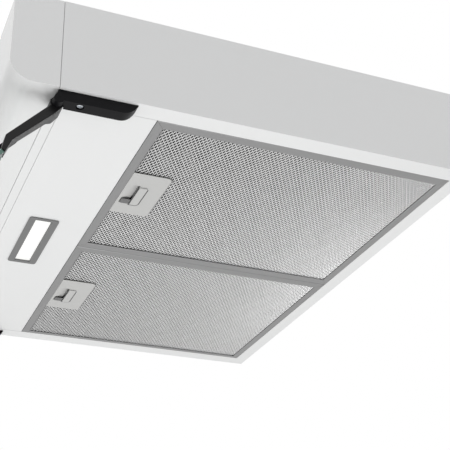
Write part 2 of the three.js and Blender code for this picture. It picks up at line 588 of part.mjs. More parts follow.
function impeller() {
  const cup = join(
    ring(CUP.inner, WHEEL.radius, [WHEEL_TOP - 2, WHEEL_TOP], centre),
    ring(CUP.inner, CUP.outer, [CUP.floor, WHEEL_TOP], centre),
    ring(SHAFT + GAP, CUP.outer, [CUP.floor, CUP.floor + 2], centre),
    ring(SHAFT + GAP, CUP.hub, [CUP.floor - 6, CUP.floor + 1], centre, 24),
    ring(WHEEL.radius - 5, WHEEL.radius, [WHEEL.bottom, WHEEL.bottom + 2], centre),
  );
  const blade = block([BLADE.inner, WHEEL.radius - 0.5], around(0, BLADE.thickness), [WHEEL.bottom + 1, WHEEL_TOP - 1]);
  const blades = Array.from({ length: WHEEL.blades }, (_, index) =>
    blade.translate([-BLADE.middle, 0, 0]).rotate([0, 0, BLADE.lean]).translate([BLADE.middle, 0, 0])
      .rotate([0, 0, (index * 360) / WHEEL.blades]).translate([WHEEL.x, WHEEL.y, 0]));
  return join(cup, ...blades);
}
piece('impeller', impeller(), paint(0x3c3d40, 0.5));

const MOTOR_TOP = SCROLL.top - SCROLL.wall - GAP;
const MOTOR_LOW = MOTOR_TOP - MOTOR.height;
piece('motor_shaft', bar(SHAFT, MOTOR_LOW + 25 - (CUP.floor - 5), 'z', [...centre, CUP.floor - 5], 20), zincSteel());

function motor() {
  return join(
    ring(SHAFT + GAP, MOTOR.radius, [MOTOR_LOW + MOTOR.shoulder, MOTOR_TOP - MOTOR.shoulder], centre, 40),
    ring(SHAFT + GAP, MOTOR.neck, [MOTOR_LOW, MOTOR_TOP], centre, 40),
  );
}
piece('motor', motor(), paint(0x9a9da1, 0.4, 0.8));

function motorBracket() {
  const base = SCROLL.top + GAP;
  const { length, width, sheet } = MOTOR_BRACKET;
  const along = block(around(WHEEL.x, length), around(WHEEL.y, width), [base, base + sheet]);
  const across = block(around(WHEEL.x, width), around(WHEEL.y, length), [base, base + sheet]);
  const boss = bar(MOTOR_BRACKET.boss, base + 0.5 - (MOTOR_TOP + GAP), 'z', [...centre, MOTOR_TOP + GAP], 32);
  return join(along, across, boss);
}
piece('motor_bracket', motorBracket(), zincSteel());

// ---------------------------------------------------------------- outlet collar and damper
const FLAP_LEVEL = 16;
const COLLAR_IN = COLLAR.radius - COLLAR.wall;
const collarCentre = [0, COLLAR.y];
const COLLAR_SCREWS = [45, 135, 225, 315].map((angle) => THREE.MathUtils.degToRad(angle))
  .map((angle) => [COLLAR.screws * Math.cos(angle), COLLAR.y + COLLAR.screws * Math.sin(angle)]);
const DAMPER_PIN = { radius: 1.5, bore: 1.8 };
const KNUCKLE = { radius: 3, length: 17, front: [-18, -1], rear: [-38, 18] };

function outletCollar() {
  const tube = ring(COLLAR_IN, COLLAR.radius, [SCROLL.top + GAP, COLLAR.height], collarCentre, 48);
  const flange = ring(COLLAR_IN, COLLAR.flange, [GAP, GAP + 2], collarCentre, 48);
  const stop = ring(COLLAR_IN - 3, COLLAR_IN + 1, [FLAP_LEVEL - 4, FLAP_LEVEL - 2.4], collarCentre, 48);
  const pinHoles = bar(DAMPER_PIN.bore, 140, 'x', [-70, COLLAR.y, FLAP_LEVEL], 16);
  const screwHoles = COLLAR_SCREWS.map(([x, y]) => bar(2.3, 5, 'z', [x, y, -1], 16));
  return cut(join(tube, flange, stop), pinHoles, ...screwHoles);
}
piece('outlet_collar', outletCollar(), blackPlastic());
piece('damper_pin', bar(DAMPER_PIN.radius, 2 * COLLAR.radius - 1, 'x', [-COLLAR.radius + 0.5, COLLAR.y, FLAP_LEVEL], 16), zincSteel());

COLLAR_SCREWS.forEach(([x, y], index) => {
  const screw = join(
    turned([[0, GAP + 2.3], [4, GAP + 2.3], [3.2, GAP + 3.9], [0, GAP + 4.4]], [x, y], 20),
    bar(1.9, 6, 'z', [x, y, GAP + 2.5 - 6 + 4], 16),
  );
  piece(`collar_screw_${index + 1}`, screw, zincSteel());
});

// A half-round flap with knuckles around the pin.
function damperFlap(side) {
  const radius = COLLAR_IN - 0.8;
  const half = new THREE.Shape();
  const start = Math.asin(3.4 / radius);
  half.absarc(0, 0, radius, side > 0 ? start : Math.PI + start, side > 0 ? Math.PI - start : 2 * Math.PI - start, false);
  const leaf = plate(half, [-2.1, -1.1]);
  const knuckles = (side > 0 ? KNUCKLE.rear : KNUCKLE.front).map((x) => join(
    bar(KNUCKLE.radius, KNUCKLE.length, 'x', [x, 0, 0], 20),
    block([x, x + KNUCKLE.length], side > 0 ? [0, 5] : [-5, 0], [-2.1, -1.1]),
  ));
  const bore = bar(DAMPER_PIN.bore, 140, 'x', [-70, 0, 0], 16);
  return cut(join(leaf, ...knuckles), bore).translate([0, COLLAR.y, FLAP_LEVEL]);
}
piece('damper_flap_front', damperFlap(-1), paint(0x2a2a2c, 0.5));
piece('damper_flap_rear', damperFlap(1), paint(0x2a2a2c, 0.5));

// ---------------------------------------------------------------- electrics
const CAPACITOR = { radius: 15, length: 45, place: [110, -60, -55] };
const SUPPLY = { x: [140, 230], y: [-40, 30], z: [-70, -SHEET - GAP], wall: 2, cover: 2 };
const WIRE_HOLE = { y: [-10, 10], z: [-40, -25] };
const TERMINALS = { x: [205, 265], y: [150, 180], z: [-22, -SHEET - GAP], count: 5, pitch: 10, cell: 7 };
const GLAND = { bore: 4.5, nut: 13, nutHeight: 5, z: [-10, 8] };

piece('capacitor', bar(CAPACITOR.radius, CAPACITOR.length, 'y', CAPACITOR.place, 28), paint(0xd8d8d4, 0.4));

function powerSupply() {
  const { x, y, z, wall } = SUPPLY;
  const inner = block([x[0] + wall, x[1] - wall], [y[0] + wall, y[1] - wall], [z[0] - 10, -4]);
  const wireHole = block([x[0] - wall, x[0] + 2 * wall], WIRE_HOLE.y, WIRE_HOLE.z);
  return cut(block(x, y, z), inner, wireHole);
}
piece('power_supply', powerSupply(), paint(0xc8c8c6, 0.5));
piece('supply_cover', block(SUPPLY.x, SUPPLY.y, [SUPPLY.z[0] - GAP - SUPPLY.cover, SUPPLY.z[0] - GAP]), paint(0xc8c8c6, 0.5));

function terminalBlock() {
  const cells = Array.from({ length: TERMINALS.count }, (_, index) => {
    const start = TERMINALS.x[0] + TERMINALS.pitch / 2 + index * TERMINALS.pitch;
    return block([start, start + TERMINALS.cell], [TERMINALS.y[0] - 2, TERMINALS.y[1] - 10], [TERMINALS.z[0] - 2, -12]);
  });
  return cut(block(TERMINALS.x, TERMINALS.y, TERMINALS.z), ...cells);
}
piece('terminal_block', terminalBlock(), paint(0xe4e2da, 0.5));

function cableGland() {
  const at = [CABLE.x, CABLE.y];
  return join(
    ring(GLAND.bore, CABLE.radius - GAP, GLAND.z, at, 32),
    ring(GLAND.bore, GLAND.nut, [GAP, GLAND.nutHeight], at, 6),
  );
}
piece('cable_gland', cableGland(), blackPlastic());

export default hood;
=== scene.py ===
"""A slim white range hood seen from below, with grease filters, a lamp and a swing-down glass visor.

Everything is in metres in the CAD frame: the origin is the middle of the top face, +X is to the
right as seen from the front, the front faces -Y and +Z is up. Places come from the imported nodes.
"""
import json
import math

import bmesh
import bpy
import numpy as np
from mathutils import Matrix, Vector


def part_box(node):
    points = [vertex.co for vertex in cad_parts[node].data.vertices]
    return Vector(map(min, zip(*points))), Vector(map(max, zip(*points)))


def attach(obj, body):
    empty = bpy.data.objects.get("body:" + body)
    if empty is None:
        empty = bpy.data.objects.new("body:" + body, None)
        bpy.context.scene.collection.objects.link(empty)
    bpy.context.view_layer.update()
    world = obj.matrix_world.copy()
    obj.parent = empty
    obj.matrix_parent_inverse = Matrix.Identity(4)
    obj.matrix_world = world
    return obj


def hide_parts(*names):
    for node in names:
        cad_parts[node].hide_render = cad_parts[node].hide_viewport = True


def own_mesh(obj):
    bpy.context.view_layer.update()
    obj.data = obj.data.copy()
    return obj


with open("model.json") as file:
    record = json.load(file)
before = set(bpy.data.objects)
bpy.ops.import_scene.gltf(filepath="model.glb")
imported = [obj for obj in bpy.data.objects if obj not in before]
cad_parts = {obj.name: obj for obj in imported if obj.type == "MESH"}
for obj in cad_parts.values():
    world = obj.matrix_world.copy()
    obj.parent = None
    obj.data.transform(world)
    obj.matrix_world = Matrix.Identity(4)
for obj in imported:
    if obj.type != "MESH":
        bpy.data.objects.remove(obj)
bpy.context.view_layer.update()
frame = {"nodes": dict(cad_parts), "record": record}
MM = 0.001
SIDES = ("right", "left")

HOUSING_LOW, HOUSING_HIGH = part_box("housing")
UNDER = HOUSING_LOW.z                     # level of the underside


# ---------------------------------------------------------------- camera, light and floor
CAMERA_AT = (1.041, -0.3638, -0.6285)
CAMERA_TARGET = (0.1075, 0.0434, -0.096)
CAMERA_ROLL = math.radians(-1.63)
LENS = 82.45
ROOM_LOW, ROOM_HIGH = 0.55, 1.0           # light from the horizon and from overhead
FLOOR_LEVEL = -1.3
HALF_FLOOR = 30.0


def aimed(place, target):
    turn = (Vector(target) - Vector(place)).to_track_quat("-Z", "Y").to_matrix().to_4x4()
    return Matrix.Translation(place) @ turn


def add_camera():
    data = bpy.data.cameras.new("camera")
    data.lens = LENS
    data.sensor_width = 36
    data.clip_start = 0.01
    camera = bpy.data.objects.new("camera", data)
    bpy.context.scene.collection.objects.link(camera)
    camera.matrix_world = aimed(CAMERA_AT, CAMERA_TARGET) @ Matrix.Rotation(CAMERA_ROLL, 4, "Z")
    bpy.context.scene.camera = camera


def add_area_light(name, place, target, size, watts):
    data = bpy.data.lights.new(name, "AREA")
    data.shape = "DISK"
    data.size = size
    data.energy = watts
    light = bpy.data.objects.new(name, data)
    bpy.context.scene.collection.objects.link(light)
    light.matrix_world = aimed(place, target)


def add_studio():
    """A soft room, brighter overhead, that the camera sees as plain white, and two soft boxes."""
    world = bpy.data.worlds.new("studio")
    bpy.context.scene.world = world
    world.use_nodes = True
    nodes, links = world.node_tree.nodes, world.node_tree.links
    background = nodes["Background"]
    background.inputs["Color"].default_value = (1.0, 1.0, 1.0, 1.0)
    direction = nodes.new("ShaderNodeTexCoord")
    axes = nodes.new("ShaderNodeSeparateXYZ")
    room = nodes.new("ShaderNodeMapRange")
    room.inputs["To Min"].default_value = ROOM_LOW
    room.inputs["To Max"].default_value = ROOM_HIGH
    path = nodes.new("ShaderNodeLightPath")
    seen = nodes.new("ShaderNodeMix")
    seen.inputs["B"].default_value = 1.0
    links.new(direction.outputs["Generated"], axes.inputs["Vector"])
    links.new(axes.outputs["Z"], room.inputs["Value"])
    links.new(room.outputs["Result"], seen.inputs["A"])
    links.new(path.outputs["Is Camera Ray"], seen.inputs["Factor"])
    links.new(seen.outputs["Result"], background.inputs["Strength"])
    add_area_light("key_below", (0.2, -0.22, -1.18), target=(0.05, -0.1, UNDER), size=0.6, watts=3.6)
    add_area_light("soft_box_top", (0.0, -1.2, 1.6), target=(0, 0, 0), size=1.4, watts=8)
    bpy.context.scene.view_settings.view_transform = "Standard"


def add_floor():
    corners = ((-1, -1), (1, -1), (1, 1), (-1, 1))
    verts = [(x * HALF_FLOOR, y * HALF_FLOOR, FLOOR_LEVEL) for x, y in corners]
    floor = mesh_object("floor", verts, [(0, 1, 2, 3)], "floor_paint")


# ---------------------------------------------------------------- mesh helpers
SHARP = math.radians(32)                  # edges that turn by more stay crisp
NEARLY_FLAT = math.radians(0.5)           # faces that turn by less are merged
MERGE = 0.01 * MM                         # points of a CAD mesh that are nearer than this become one
CLOSE = 0.001 * MM                        # the same for the pieces made here
CORNER_STEPS = 6


def mesh_object(name, verts, faces, finish):
    mesh = bpy.data.meshes.new(name)
    mesh.from_pydata([tuple(vert) for vert in verts], [], faces)
    mesh.update()
    mesh.materials.append(MATERIALS[finish])
    piece = bpy.data.objects.new(name, mesh)
    bpy.context.scene.collection.objects.link(piece)
    return piece


def smooth_by_angle():
    """A node group that shades faces smooth and keeps sharp edges crisp."""
    group = bpy.data.node_groups.new("smooth_by_angle", "GeometryNodeTree")
    group.interface.new_socket("Geometry", in_out="INPUT", socket_type="NodeSocketGeometry")
    group.interface.new_socket("Geometry", in_out="OUTPUT", socket_type="NodeSocketGeometry")
    nodes, links = group.nodes, group.links
    start, end = nodes.new("NodeGroupInput"), nodes.new("NodeGroupOutput")
    faces = nodes.new("GeometryNodeSetShadeSmooth")
    edges = nodes.new("GeometryNodeSetShadeSmooth")
    edges.domain = "EDGE"
    edges.inputs["Shade Smooth"].default_value = False
    angle = nodes.new("GeometryNodeInputMeshEdgeAngle")
    compare = nodes.new("FunctionNodeCompare")
    compare.operation = "GREATER_THAN"
    compare.inputs[1].default_value = SHARP
    links.new(angle.outputs["Unsigned Angle"], compare.inputs[0])
    links.new(start.outputs[0], faces.inputs["Geometry"])
    links.new(faces.outputs["Geometry"], edges.inputs["Geometry"])
    links.new(compare.outputs[0], edges.inputs["Selection"])
    links.new(edges.outputs["Geometry"], end.inputs[0])
    return group


def soften(piece, width, merge_flats=True):
    """Rounds a piece's sharp edges by a width in millimetres and shades the rest smoothly."""
    weld = piece.modifiers.new("weld", "WELD")
    weld.merge_threshold = MERGE
    if merge_flats:
        flat = piece.modifiers.new("flat", "DECIMATE")
        flat.decimate_type = "DISSOLVE"
        flat.angle_limit = NEARLY_FLAT
    if width:
        bevel = piece.modifiers.new("bevel", "BEVEL")
        bevel.width = width * MM
        bevel.segments = 2
        bevel.limit_method = "ANGLE"
        bevel.angle_limit = SHARP
        bevel.use_clamp_overlap = True
    shade = piece.modifiers.new("shade", "NODES")
    shade.node_group = SMOOTH
    normals = piece.modifiers.new("normals", "WEIGHTED_NORMAL")
    normals.keep_sharp = True
    normals.weight = 100


def turned(name, profile, centre, finish, segments, axis="z"):
    """A closed piece turned about the z or y line through centre, from (radius, height) pairs."""
    verts, faces = [], []
    count = len(profile)
    for step in range(segments):
        turn = 2 * math.pi * step / segments
        for radius, height in profile:
            verts.append((radius * math.cos(turn), radius * math.sin(turn), height))
    for step in range(segments):
        after = (step + 1) % segments
        for index in range(count - 1):
            faces.append((step * count + index, after * count + index,
                          after * count + index + 1, step * count + index + 1))
    piece = mesh_object(name, verts, faces, finish)
    upright = Matrix() if axis == "z" else Matrix.Rotation(math.radians(90), 4, "X")
    piece.data.transform(Matrix.Translation(centre) @ upright)
    tidy_normals(piece, merge=CLOSE)
    return piece


def tidy_normals(piece, merge=0.0):
    """Turns every face outward, after merging points closer than merge."""
    work = bmesh.new()
    work.from_mesh(piece.data)
    if merge:
        bmesh.ops.remove_doubles(work, verts=work.verts, dist=merge)
    bmesh.ops.recalc_face_normals(work, faces=work.faces)
    work.to_mesh(piece.data)
    work.free()


def prism(name, outline, z_low, z_high, finish):
    """An outline in X and Y, drawn up between two levels."""
    count = len(outline)
    verts = [(x, y, z_low) for x, y in outline] + [(x, y, z_high) for x, y in outline]
    faces = [tuple(reversed(range(count))), tuple(range(count, 2 * count))]
    for index in range(count):
        after = (index + 1) % count
        faces.append((index, after, count + after, count + index))
    return mesh_object(name, verts, faces, finish)


def rounded_outline(x0, x1, y0, y1, radii):
    """A rectangle with a radius at each corner, counter-clockwise from low x, low y."""
    corners = [(x0, y0, 180), (x1, y0, 270), (x1, y1, 0), (x0, y1, 90)]
    inward = [(1, 1), (-1, 1), (-1, -1), (1, -1)]
    outline = []
    for (x, y, start), (dx, dy), radius in zip(corners, inward, radii):
        if radius == 0:
            outline.append((x, y))
            continue
        for step in range(CORNER_STEPS + 1):
            turn = math.radians(start + 90 * step / CORNER_STEPS)
            centre = (x + dx * radius, y + dy * radius)
            outline.append((centre[0] + radius * math.cos(turn), centre[1] + radius * math.sin(turn)))
    return outline


def join_pieces(name, pieces):
    """One piece from several, with their materials kept."""
    base = pieces[0]
    work = bmesh.new()
    finishes = []
    for piece in pieces:
        slots = []
        for material in piece.data.materials:
            if material not in finishes:
                finishes.append(material)
            slots.append(finishes.index(material))
        first = len(work.faces)
        work.from_mesh(piece.data)
        work.faces.ensure_lookup_table()
        for face in work.faces[first:]:
            face.material_index = slots[face.material_index]
    base.data.materials.clear()
    work.to_mesh(base.data)
    work.free()
    for material in finishes:
        base.data.materials.append(material)
    for piece in pieces[1:]:
        bpy.data.objects.remove(piece)
    base.name = name
    return base


# ---------------------------------------------------------------- materials
MATERIALS = {}
NOISE_LOW, NOISE_HIGH = 0.3, 0.7          # where nearly all of a noise texture's values lie
BUMP_DEPTH = 0.1 * MM
COLOUR_SCALE, GLOSS_SCALE = 7.0, 40.0     # of the slow changes over plastic and paint
CLOUD_SCALE = 18.0                        # and over metal


def new_material(name):
    material = bpy.data.materials.new(name)
    material.use_nodes = True
    MATERIALS[name] = material
    return material.node_tree, material.node_tree.nodes["Principled BSDF"]


def object_coordinates(tree, scale=(1, 1, 1)):
    coordinates = tree.nodes.new("ShaderNodeTexCoord")
    mapping = tree.nodes.new("ShaderNodeMapping")
    mapping.inputs["Scale"].default_value = scale
    tree.links.new(coordinates.outputs["Object"], mapping.inputs["Vector"])
    return mapping.outputs["Vector"]


def noise(tree, vector, scale, detail=3.0):
    texture = tree.nodes.new("ShaderNodeTexNoise")
    texture.inputs["Scale"].default_value = scale
    texture.inputs["Detail"].default_value = detail
    tree.links.new(vector, texture.inputs["Vector"])
    return texture.outputs["Fac"]


def remap(tree, value, low, high):
    node = tree.nodes.new("ShaderNodeMapRange")
    node.inputs["From Min"].default_value = NOISE_LOW
    node.inputs["From Max"].default_value = NOISE_HIGH
    node.inputs["To Min"].default_value = low
    node.inputs["To Max"].default_value = high
    tree.links.new(value, node.inputs["Value"])
    return node.outputs["Result"]


def tint(tree, value, dark, light):
    """Mixes two colours by value, through the Mix node's colour sockets."""
    mix = tree.nodes.new("ShaderNodeMix")
    mix.data_type = "RGBA"
    mix.inputs[6].default_value = (*dark, 1)
    mix.inputs[7].default_value = (*light, 1)
    tree.links.new(value, mix.inputs["Factor"])
    return mix.outputs[2]


def bump(tree, shader, height, strength):
    node = tree.nodes.new("ShaderNodeBump")
    node.inputs["Strength"].default_value = strength
    node.inputs["Distance"].default_value = BUMP_DEPTH
    tree.links.new(height, node.inputs["Height"])
    tree.links.new(node.outputs["Normal"], shader.inputs["Normal"])


def scaled(colour, factor):
    return tuple(min(1.0, channel * factor) for channel in colour)


def moulded(name, colour, roughness, grain=0.15, grain_scale=2400, coat=0.0, drift=0.03):
    """Moulded plastic or paint: a fine surface grain, with colour and gloss that drift a little."""
    tree, shader = new_material(name)
    vector = object_coordinates(tree)
    colours = noise(tree, vector, COLOUR_SCALE)
    gloss = noise(tree, vector, GLOSS_SCALE)
    tree.links.new(tint(tree, colours, scaled(colour, 1 - drift), scaled(colour, 1 + drift)),
                   shader.inputs["Base Color"])
    tree.links.new(remap(tree, gloss, 0.92 * roughness, 1.1 * roughness), shader.inputs["Roughness"])
    shader.inputs["Coat Weight"].default_value = coat
    shader.inputs["Coat Roughness"].default_value = 0.05
    if grain:
        bump(tree, shader, noise(tree, vector, grain_scale, 2.0), grain)
    return shader


def metal(name, colour, roughness, stretch, streaks=0.35):
    """Metal with fine drawn lines; stretch is the scale of the lines on each axis."""
    tree, shader = new_material(name)
    lines = noise(tree, object_coordinates(tree, stretch), 1.0, 2.0)
    cloud = noise(tree, object_coordinates(tree), CLOUD_SCALE)
    tree.links.new(tint(tree, lines, scaled(colour, 1 - 0.3 * streaks), scaled(colour, 1 + 0.3 * streaks)),
                   shader.inputs["Base Color"])
    tree.links.new(remap(tree, cloud, 0.88 * roughness, 1.14 * roughness), shader.inputs["Roughness"])
    shader.inputs["Metallic"].default_value = 1.0
    bump(tree, shader, lines, 0.15 * streaks)


def make_materials():
    moulded("white_steel", (0.80, 0.805, 0.81), 0.34, grain=0.08, grain_scale=1500, drift=0.01)
    moulded("gloss_white", (0.80, 0.805, 0.81), 0.20, grain=0.03, grain_scale=300, coat=0.5, drift=0.01)
    shader = moulded("black_plastic", (0.006, 0.006, 0.007), 0.42, grain=0.2)
    shader.inputs["Specular IOR Level"].default_value = 0.12
    shader = moulded("arm_black", (0.007, 0.007, 0.0075), 0.34, grain=0.1)
    shader.inputs["Specular IOR Level"].default_value = 0.35
    moulded("dark_plastic", (0.03, 0.03, 0.033), 0.5, grain=0.25)
    moulded("grey_plastic", (0.17, 0.171, 0.172), 0.42, grain=0.15)
    moulded("pale_plastic", (0.53, 0.53, 0.525), 0.42, grain=0.12)
    moulded("ivory_plastic", (0.70, 0.69, 0.65), 0.5, grain=0.15)
    moulded("board", (0.04, 0.15, 0.075), 0.4, grain=0.3, grain_scale=700)
    moulded("mark", (0.10, 0.10, 0.105), 0.5, grain=0.1)
    # A flat dark grey for painted shade: the shadow line round a latch's pad.
    moulded("seam_grey", (0.075, 0.075, 0.078), 0.6, grain=0.1)
    # A grey, with strong drift, for painted shade on the floor of a latch's finger recess.
    moulded("recess_grey", (0.17, 0.17, 0.172), 0.6, grain=0.1, drift=0.2)
    metal("frame_x", (0.38, 0.38, 0.385), 0.40, (25, 1500, 1500))
    metal("frame_y", (0.38, 0.38, 0.385), 0.40, (1500, 25, 1500))
    metal("mesh_metal", (0.84, 0.84, 0.845), 0.31, (500, 500, 500), streaks=0.2)
    # The layer behind the front mesh is the same aluminium as it, darkened as painted shade.
    metal("painted_shade_layer_metal", (0.20, 0.20, 0.202), 0.45, (500, 500, 500), streaks=0.3)
    # The filters' solid core is painted near-black, as painted shade for the dark seen through the mesh.
    metal("painted_shade_core", (0.05, 0.05, 0.05), 0.6, (900, 900, 900), streaks=1.5)
    metal("zinc_steel", (0.55, 0.58, 0.62), 0.34, (1200, 1200, 40), streaks=0.3)

    shader = moulded("lamp_window", (0.90, 0.90, 0.89), 0.35, grain=0.1, drift=0.005)
    shader.inputs["Emission Color"].default_value = (1.0, 1.0, 0.98, 1)
    shader.inputs["Emission Strength"].default_value = 0.18

    shader = moulded("visor_glass", (0.93, 0.98, 0.96), 0.02, grain=0.0, drift=0.0)
    shader.inputs["Transmission Weight"].default_value = 1.0
    shader.inputs["IOR"].default_value = 1.5
    moulded("glass_edge", (0.10, 0.20, 0.165), 0.12, grain=0.0, coat=0.5, drift=0.1)
    moulded("floor_paint", (0.86, 0.86, 0.85), 0.8, grain=0.0)


# ---------------------------------------------------------------- carried-over CAD nodes
PLAIN_ROUND = 0.3                         # edge radius in millimetres
EDGE_ROUND = {                            # and the nodes that have another
    "housing": 0.25, "hinge_bracket": 0.9, "visor_arm": 1.1, "visor_clamp": 0.6, "lamp_bezel": 0.6,
    "button": 0.6, "button_bezel": 0.5, "latch_plate": 0.25, "power_supply": 1.0, "supply_cover": 0.4,
    "capacitor": 1.0, "motor": 0.8, "cable_gland": 0.6, "outlet_collar": 0.4, "terminal_block": 0.5,
    "impeller": 0.0,
}
# The aluminium slot gets the near-black painted-shade core.
SLOT_FINISH = {"aluminium": "painted_shade_core"}        # what stays of this slot is behind the filters' mesh


def edge_round(name):
    """The radius for the longest entry of EDGE_ROUND that a node's name starts with."""
    fits = [start for start in EDGE_ROUND if name.startswith(start)]
    return EDGE_ROUND[max(fits, key=len)] if fits else PLAIN_ROUND


def paint_cad_nodes():
    """Gives every CAD node its material and soft edges; the bezel's face has holes, so it isn't merged."""
    for entry in frame["record"]["subparts"]:
        name, slot = entry["node"], entry["material_slot"]
        node = frame["nodes"][name]
        finish = "arm_black" if name.startswith("visor_arm") else SLOT_FINISH.get(slot, slot)
        node.data.materials.clear()
        node.data.materials.append(MATERIALS[finish])
        soften(node, edge_round(name), merge_flats=name != "button_bezel")


# ---------------------------------------------------------------- grease filters
RAIL_TURN = 6                             # steps round a rail's rolled edges
MITRE_GAP = 0.12 * MM
RAIL_FRONT, RAIL_BACK = 9.5 * MM, 8 * MM  # widths of the front and rear rails
RAIL_SIDES = {"right": (11.5 * MM, 12 * MM), "left": (5.5 * MM, 11.5 * MM)}    # at low and at high X
FILTER_BACK = HOUSING_HIGH.y - 16.5 * MM  # rear edge of the filters
HOOK_PLACES = (60 * MM, 220 * MM)         # from the middle of the hood
HOOK_HALF, HOOK_ROUND = 12 * MM, 3 * MM
HOOK_LEVELS = (UNDER + 1.3 * MM, UNDER + 2.5 * MM)

BOND = 0.16                               # length of a bond between strands, as a share of half a diamond
MESH = {                                  # diamond size, then each strand's width, thickness and lean
    "front": ((7.2 * MM, 4.4 * MM), (0.95 * MM, 0.3 * MM, math.radians(-42))),
    "layer": ((6.4 * MM, 3.8 * MM), (0.95 * MM, 0.3 * MM, math.radians(25))),
    "rear": ((7.2 * MM, 4.4 * MM), (0.95 * MM, 0.3 * MM, math.radians(25))),
}
FRONT_DEPTH, LAYER_DEPTH = 0.75 * MM, 3 * MM      # middles of the sheets above the mesh's lower face
REAR_LEVEL = UNDER + 8.25 * MM
MESH_INSET = (0.4 * MM, 0.3 * MM)         # from the edges of the mesh node, in X and in Y
REAR_INSET_X = {"right": (10.5 * MM, 10.5 * MM), "left": (4.5 * MM, 10.5 * MM)}
REAR_INSET_Y = (8.5 * MM, 7 * MM)
LATCH_HALF, LATCH_BACK = 27 * MM, 2 * MM  # the part of the mesh left open round a latch


def rail_profile(height):
    """A rail's section, as (share of its width, level above the underside).

    It has a lower flange with both edges rolled up, a web at its outer edge and an upper flange.
    """
    sheet, roll, lip = 0.8 * MM, 1.1 * MM, 0.6 * MM
    points = []
    for step in range(RAIL_TURN + 1):
        turn = math.pi / 2 * step / RAIL_TURN
        points.append((0.11 * (1 - math.cos(turn)), roll * (1 - math.sin(turn))))
    for step in range(RAIL_TURN + 1):
        turn = math.pi / 2 * step / RAIL_TURN
        points.append((0.94 + 0.06 * math.sin(turn), lip * (1 - math.cos(turn))))
    points += [(1.0, 1.0 * MM), (0.93, 1.0 * MM), (0.93, sheet), (0.1, sheet), (0.08, 1.4 * MM),
               (0.08, height - sheet), (0.8, height - sheet), (0.8, height), (0.0, height)]
    return points


def mitred_frame(side, node):
    """The channel frame of one filter: four rails that meet in mitres, and two rear hooks."""
    low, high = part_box(node)
    wall = RAIL_SIDES[side]
    outer = ((low.x, high.x), (low.y, FILTER_BACK))
    inner = ((low.x + wall[0], high.x - wall[1]), (low.y + RAIL_FRONT, FILTER_BACK - RAIL_BACK))

    def corner(share, ends):
        """A point between an outer and an inner corner; ends says which corner, in X and in Y."""
        spans = [(outer[axis][end], inner[axis][end]) for axis, end in enumerate(ends)]
        return [edge + share * (opening - edge) for edge, opening in spans]

    profile = rail_profile(high.z - UNDER)
    count = len(profile)
    rails = [((0, 0), (1, 0), "frame_x"), ((1, 0), (1, 1), "frame_y"),
             ((1, 1), (0, 1), "frame_x"), ((0, 1), (0, 0), "frame_y")]
    parts = []
    for start, end, finish in rails:
        along = Vector((end[0] - start[0], end[1] - start[1], 0)) * MITRE_GAP
        verts = []
        for ends, shift in ((start, along), (end, -along)):
            verts += [Vector((*corner(share, ends), UNDER + level)) + shift for share, level in profile]
        faces = []
        for index in range(count):
            after = (index + 1) % count
            faces.append((index, after, count + after, count + index))
        faces += [tuple(range(count))[::-1], tuple(range(count, 2 * count))]
        parts.append(mesh_object("rail", verts, faces, finish))
    sign = 1 if side == "right" else -1
    for place in HOOK_PLACES:
        x = sign * place
        outline = rounded_outline(x - HOOK_HALF, x + HOOK_HALF, FILTER_BACK - HOOK_ROUND, high.y,
                                  (0, 0, HOOK_ROUND, HOOK_ROUND))
        parts.append(prism("hook", outline, *HOOK_LEVELS, "frame_x"))
    piece = join_pieces(f"filter_rails_{side}", parts)
    tidy_normals(piece)
    soften(piece, 0)
    return piece


def expanded_metal(name, area, level, pitch, strand, clear=None, closed=True, finish="mesh_metal"):
    """Expanded sheet: rows of zigzag strands, all leaning one way, that meet at staggered bonds.

    area is (x0, x1, y0, y1), pitch the (x, y) size of one diamond, strand the (width, thickness,
    lean) of its bars, and clear an optional (x0, x1, y1) left open at the front. Closed strands are
    solid bars, and the others are single faces.
    """
    x0, x1, y0, y1 = area
    width, thickness, lean = strand
    row_pitch, half = pitch[1] / 2, pitch[0] / 2
    rows = int((y1 - y0) / row_pitch)
    steps = int((x1 - x0) / half)
    swing = (row_pitch - width * math.cos(lean)) / 2
    bond = BOND * half
    lift = width * math.sin(lean) / 2
    across = np.array([0, math.cos(lean), math.sin(lean)]) * width / 2
    through = np.array([0, -math.sin(lean), math.cos(lean)]) * thickness / 2
    section = [-across - through, across - through, across + through, -across + through]
    if not closed:
        section = [-across, across]
    size = len(section)
    verts, faces = [], []
    for row in range(rows):
        y = y0 + (row + 0.5) * row_pitch
        runs, run = [], []
        for step in range(steps + 1):
            sign = 1 if (step + row) % 2 == 0 else -1
            for shift in (-bond, bond):
                x = x0 + step * half + shift
                if clear and clear[0] < x < clear[1] and y < clear[2]:
                    if run:
                        runs.append(run)
                    run = []
                    continue
                run.append((x, y + sign * swing, level - sign * lift))
        runs.append(run)
        for run in runs:
            if len(run) < 2:
                continue
            first = len(verts)
            for point in run:
                verts.extend(np.array(point) + offset for offset in section)
            for index in range(len(run) - 1):
                here, there = first + index * size, first + (index + 1) * size
                if closed:
                    for k in range(size):
                        after = (k + 1) % size
                        faces.append((here + k, here + after, there + after, there + k))
                else:
                    faces.append((here, here + 1, there + 1, there))
            if closed:
                faces += [(first + 3, first + 2, first + 1, first),
                          tuple(first + (len(run) - 1) * size + k for k in range(size))]
    return mesh_object(name, verts, faces, finish)


